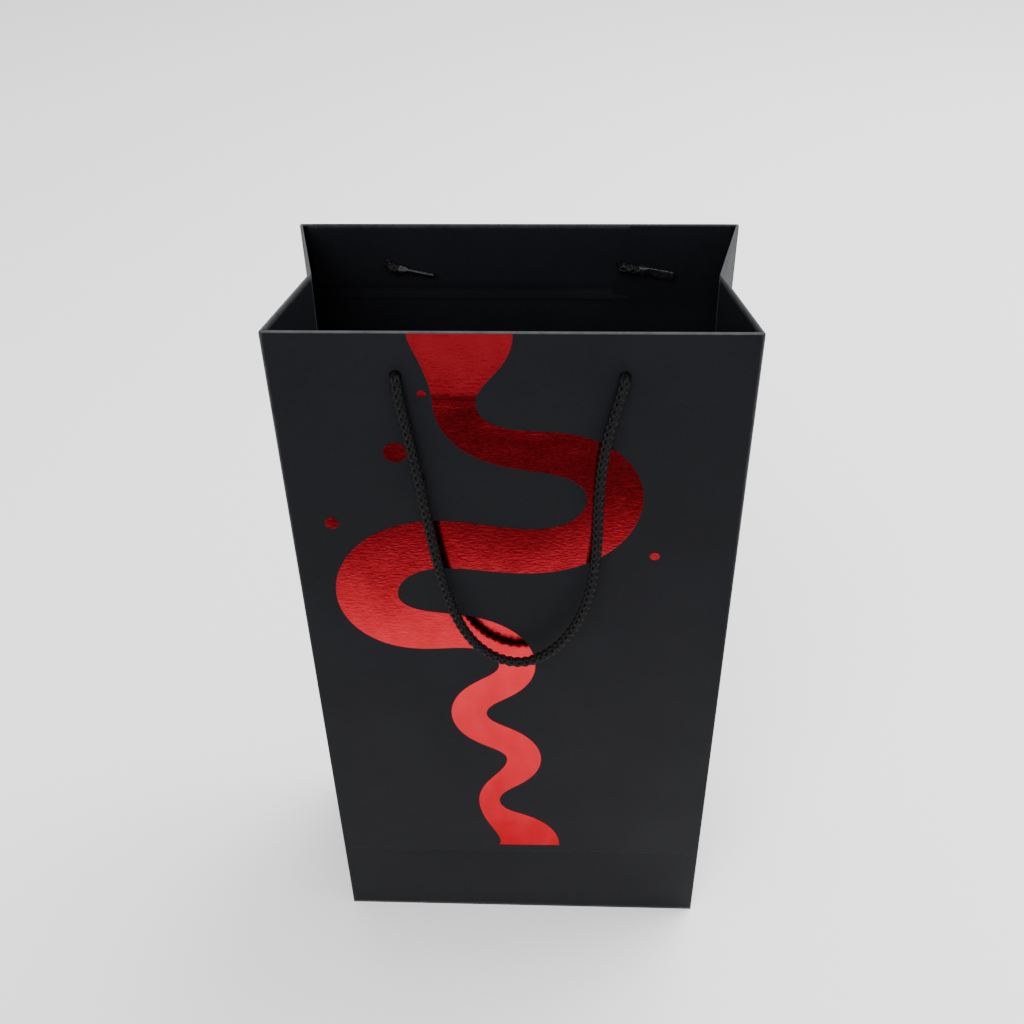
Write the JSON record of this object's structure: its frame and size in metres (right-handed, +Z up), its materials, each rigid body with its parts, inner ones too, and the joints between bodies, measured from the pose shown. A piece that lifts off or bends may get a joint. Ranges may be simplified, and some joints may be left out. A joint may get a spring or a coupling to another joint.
{
  "type": "paper gift bag",
  "caption": "Upright black paper bag for two bottles, with tucked side gussets, turned-in hem, rope handles and a red foil print",
  "frame": {"origin": "middle of the base, where the bag stands", "axes": "+Z up out of the mouth, +X to the bag's right, -Y out of the front wall"},
  "size_m": [0.18, 0.104, 0.35],
  "materials": {
    "black_paper": "matt, fine laid texture",
    "stiffener_card": "uncoated card",
    "base_board": "matt board",
    "red_foil": "hot stamped metallic foil",
    "rope": "braided polyester cord",
    "crimp_tip": "glossy crimped plastic"
  },
  "bodies": {
    "base": {"base_board": "base_board", "bottom_front_flap": "black_paper", "bottom_back_flap": "black_paper", "bottom_left_flap": "black_paper", "bottom_right_flap": "black_paper"},
    "front_wall": {"front_wall": "black_paper", "front_stiffener_card": "stiffener_card", "front_hem": "black_paper", "foil_pour": "red_foil", "foil_drops": "red_foil", "front_handle_left_tail": "rope", "front_handle_left_tip": "crimp_tip", "front_handle_right_tail": "rope", "front_handle_right_tip": "crimp_tip"},
    "back_wall": {"back_wall": "black_paper", "back_stiffener_card": "stiffener_card", "back_hem": "black_paper", "seam_tab": "black_paper", "back_handle_left_tail": "rope", "back_handle_left_tip": "crimp_tip", "back_handle_right_tail": "rope", "back_handle_right_tip": "crimp_tip"},
    "left_front_gusset": {"left_front_gusset": "black_paper", "left_front_gusset_hem": "black_paper"},
    "right_front_gusset": {"right_front_gusset": "black_paper", "right_front_gusset_hem": "black_paper"},
    "left_back_gusset": {"left_back_gusset": "black_paper", "left_back_gusset_hem": "black_paper"},
    "right_back_gusset": {"right_back_gusset": "black_paper", "right_back_gusset_hem": "black_paper"},
    "front_handle": {"front_handle_loop": "rope"},
    "back_handle": {"back_handle_loop": "rope"}
  },
  "joints": [
    {"name": "mouth_squeeze", "type": "hinge", "parent": "base", "child": "front_wall", "pos_m": [0, -0.045, 0.0005], "axis": [-1, 0, 0], "range_deg": [0, 1.64], "stiffness_Nm_per_rad": 6},
    {"name": "back_wall_follow", "type": "hinge", "parent": "base", "child": "back_wall", "pos_m": [0, 0.045, 0.0005], "axis": [1, 0, 0], "range_deg": [0, 1.64]},
    {"name": "left_front_gusset_fold", "type": "hinge", "parent": "front_wall", "child": "left_front_gusset", "pos_m": [-0.09, -0.045, 0.0005], "axis": [0, -0.0039, -1], "range_deg": [0, 27.5]},
    {"name": "right_front_gusset_fold", "type": "hinge", "parent": "front_wall", "child": "right_front_gusset", "pos_m": [0.09, -0.045, 0.0005], "axis": [0, 0.0039, 1], "range_deg": [0, 27.5]},
    {"name": "left_back_gusset_fold", "type": "hinge", "parent": "back_wall", "child": "left_back_gusset", "pos_m": [-0.09, 0.045, 0.0005], "axis": [0, -0.0039, 1], "range_deg": [0, 27.5]},
    {"name": "right_back_gusset_fold", "type": "hinge", "parent": "back_wall", "child": "right_back_gusset", "pos_m": [0.09, 0.045, 0.0005], "axis": [0, 0.0039, -1], "range_deg": [0, 27.5]},
    {"name": "front_handle_swing", "type": "hinge", "parent": "front_wall", "child": "front_handle", "pos_m": [0, -0.04625, 0.332], "axis": [-1, 0, 0], "range_deg": [0, 180]},
    {"name": "back_handle_swing", "type": "hinge", "parent": "back_wall", "child": "back_handle", "pos_m": [0, 0.04625, 0.332], "axis": [1, 0, 0], "range_deg": [0, 180]}
  ],
  "couplings": [
    {"joint": "back_wall_follow", "follows": "mouth_squeeze", "ratio": 1},
    {"joint": "left_front_gusset_fold", "follows": "mouth_squeeze", "ratio": 16.764},
    {"joint": "right_front_gusset_fold", "follows": "mouth_squeeze", "ratio": 16.764},
    {"joint": "left_back_gusset_fold", "follows": "mouth_squeeze", "ratio": 16.764},
    {"joint": "right_back_gusset_fold", "follows": "mouth_squeeze", "ratio": 16.764}
  ]
}
